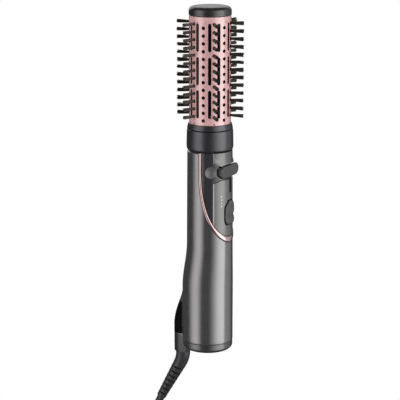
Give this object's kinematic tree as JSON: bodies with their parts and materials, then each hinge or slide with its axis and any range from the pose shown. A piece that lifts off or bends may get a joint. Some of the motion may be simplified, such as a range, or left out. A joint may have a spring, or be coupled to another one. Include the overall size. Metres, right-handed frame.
{
  "type": "hot air brush",
  "caption": "Handheld hot air brush with a turning perforated barrel, bristle rows, cool tip, direction rocker, slide switch and swivel cord.",
  "frame": {"origin": "on the handle's axis, in the middle of the hand grip", "axes": "+Z along the axis to the brush tip, -Y the front with the controls, +Y the rear with the cord"},
  "size_m": [0.0712, 0.0949, 0.661],
  "materials": {
    "gunmetal": "satin metallic grey",
    "dark_inlay": "high gloss",
    "rose_chrome": "polished rose gold",
    "rose_barrel": "satin rose gold",
    "soft_black": "matt",
    "control_grey": "satin",
    "ring_satin": "satin",
    "bristle_black": "nylon",
    "cord_black": "matt",
    "inner_plastic": "moulded",
    "steel": "plain",
    "brass": "plain",
    "mica": "sheet mica",
    "board_green": "lacquered"
  },
  "bodies": {
    "handle": {"main_housing": "gunmetal", "front_inlay": "dark_inlay", "control_panel": "gunmetal", "upper_panel": "gunmetal", "trim_strip": "rose_chrome", "heel_pad": "soft_black", "neck_tube": "inner_plastic", "fan_shroud": "inner_plastic", "fan_motor": "steel", "heater_frame": "mica", "heater_coil": "steel", "heat_shield": "mica", "thermostat": "inner_plastic", "turn_motor": "steel", "gear_plate": "inner_plastic", "shaft_bush": "brass", "slide_switch_body": "inner_plastic", "rocker_pin": "steel", "tact_switch_left": "inner_plastic", "tact_switch_right": "inner_plastic", "release_spring_left": "steel", "release_spring_right": "steel", "circuit_board": "board_green", "cord_clamp": "inner_plastic", "clamp_screw_left": "steel", "clamp_screw_right": "steel", "inner_lead": "cord_black", "wire_loom": "board_green"},
    "head_body": {"head_ring": "ring_satin", "head_bush": "brass"},
    "barrel_body": {"barrel": "rose_barrel", "tip_cap": "soft_black", "barrel_collar": "ring_satin", "barrel_core": "inner_plastic", "bristle_strip_1": "bristle_black", "bristle_strip_2": "bristle_black", "bristle_strip_3": "bristle_black", "bristle_strip_4": "bristle_black", "bristle_strip_5": "bristle_black", "bristle_strip_6": "bristle_black"},
    "drive_body": {"drive_gear": "inner_plastic", "drive_shaft": "steel"},
    "pinion_body": {"pinion": "brass"},
    "fan_body": {"impeller": "inner_plastic", "fan_shaft": "steel"},
    "rocker_body": {"rocker": "control_grey"},
    "knob_body": {"slide_knob": "control_grey"},
    "release_body_left": {"release_button_left": "gunmetal"},
    "release_body_right": {"release_button_right": "gunmetal"},
    "grille_body": {"inlet_grille": "control_grey", "filter_gauze": "steel"},
    "cord_body": {"cord_swivel": "inner_plastic", "strain_relief": "cord_black", "cord": "cord_black", "cord_hank": "cord_black", "cord_tie": "soft_black", "cord_tail": "cord_black", "plug_body": "cord_black", "plug_pin_left": "brass", "plug_pin_right": "brass"}
  },
  "joints": [
    {"name": "head_lift", "type": "slide", "parent": "handle", "child": "head_body", "axis": [0, 0, 1], "range_m": [0, 0.03]},
    {"name": "barrel_spin", "type": "hinge", "parent": "head_body", "child": "barrel_body", "pos_m": [0, 0, 0.155], "axis": [0, 0, 1], "continuous": true},
    {"name": "drive_spin", "type": "hinge", "parent": "handle", "child": "drive_body", "pos_m": [0, 0, 0.046], "axis": [0, 0, 1], "continuous": true},
    {"name": "pinion_spin", "type": "hinge", "parent": "handle", "child": "pinion_body", "pos_m": [0, 0.0102, 0.046], "axis": [0, 0, 1], "continuous": true},
    {"name": "fan_spin", "type": "hinge", "parent": "handle", "child": "fan_body", "pos_m": [0, 0.0021, -0.03], "axis": [0, 0, 1], "continuous": true},
    {"name": "rocker_tilt", "type": "hinge", "parent": "handle", "child": "rocker_body", "pos_m": [0, -0.0154, 0.1147], "axis": [0, 0, 1], "range_deg": [-6, 6], "stiffness_Nm_per_rad": 0.25},
    {"name": "slide_switch", "type": "slide", "parent": "handle", "child": "knob_body", "axis": [0, 0, 1], "range_m": [0, 0.0081]},
    {"name": "release_press_left", "type": "slide", "parent": "handle", "child": "release_body_left", "axis": [0.866, 0.5, 0], "range_m": [0, 0.0015], "stiffness_N_per_m": 400},
    {"name": "release_press_right", "type": "slide", "parent": "handle", "child": "release_body_right", "axis": [-0.866, 0.5, 0], "range_m": [0, 0.0015], "stiffness_N_per_m": 400},
    {"name": "grille_pull", "type": "slide", "parent": "handle", "child": "grille_body", "axis": [0, 0, -1], "range_m": [0, 0.012]},
    {"name": "cord_swivel_turn", "type": "hinge", "parent": "handle", "child": "cord_body", "pos_m": [0, 0.0276, -0.06], "axis": [0, 0, 1], "continuous": true}
  ],
  "couplings": [
    {"joint": "drive_spin", "follows": "barrel_spin", "ratio": 1},
    {"joint": "pinion_spin", "follows": "barrel_spin", "ratio": -2.4}
  ]
}
